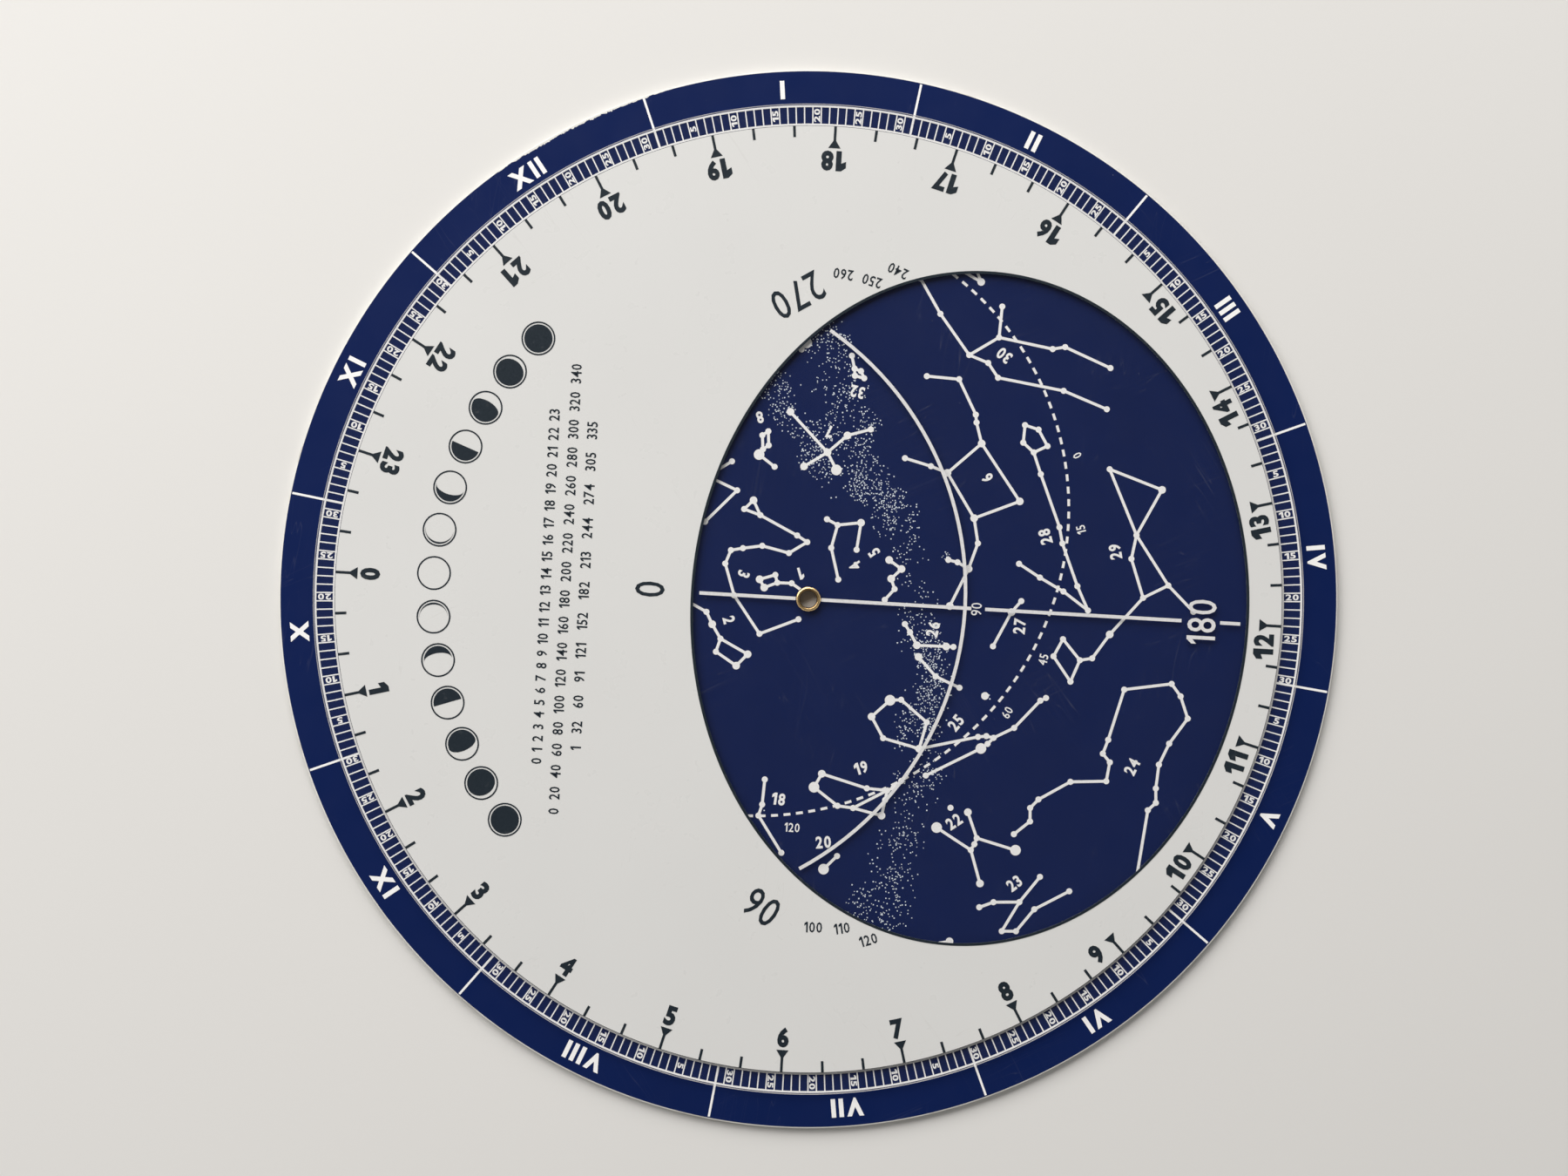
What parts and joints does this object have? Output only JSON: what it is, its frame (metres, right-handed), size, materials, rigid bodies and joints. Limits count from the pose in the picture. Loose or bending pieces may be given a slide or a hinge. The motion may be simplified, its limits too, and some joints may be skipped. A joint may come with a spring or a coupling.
{
  "type": "planisphere",
  "caption": "Round star finder: a printed star disc with a date ring under a clear masked overlay with a horizon window, which turns on a rolled eyelet.",
  "frame": {"origin": "on the eyelet's axis, at the surface that the part lies on, under the eyelet's lower rim", "axes": "+Z out of the printed face along the eyelet's axis, about which the overlay turns; +X to the right and +Y up as the dial is read with noon at 93.3 degrees clockwise from +Y"},
  "size_m": [0.2, 0.2, 0.0025],
  "materials": {
    "white_plastic": "gloss",
    "navy_ink": "gloss",
    "white_ink": "gloss",
    "clear_plastic": "clear gloss",
    "mask_ink": "satin",
    "slate_ink": "satin",
    "brass": "worn, rolled"
  },
  "bodies": {
    "star_wheel": {"star_disc": "white_plastic", "navy_print": "navy_ink", "date_scale": "white_ink", "month_lines": "white_ink", "star_chart": "white_ink", "eyelet": "brass"},
    "overlay": {"overlay_sheet": "clear_plastic", "horizon_mask": "mask_ink", "window_border": "slate_ink", "hour_scale": "slate_ink", "sight_lines": "mask_ink"}
  },
  "joints": [
    {"name": "overlay_turn", "type": "hinge", "parent": "star_wheel", "child": "overlay", "pos_m": [0, 0, 0.00125], "axis": [0, 0, 1], "continuous": true}
  ]
}
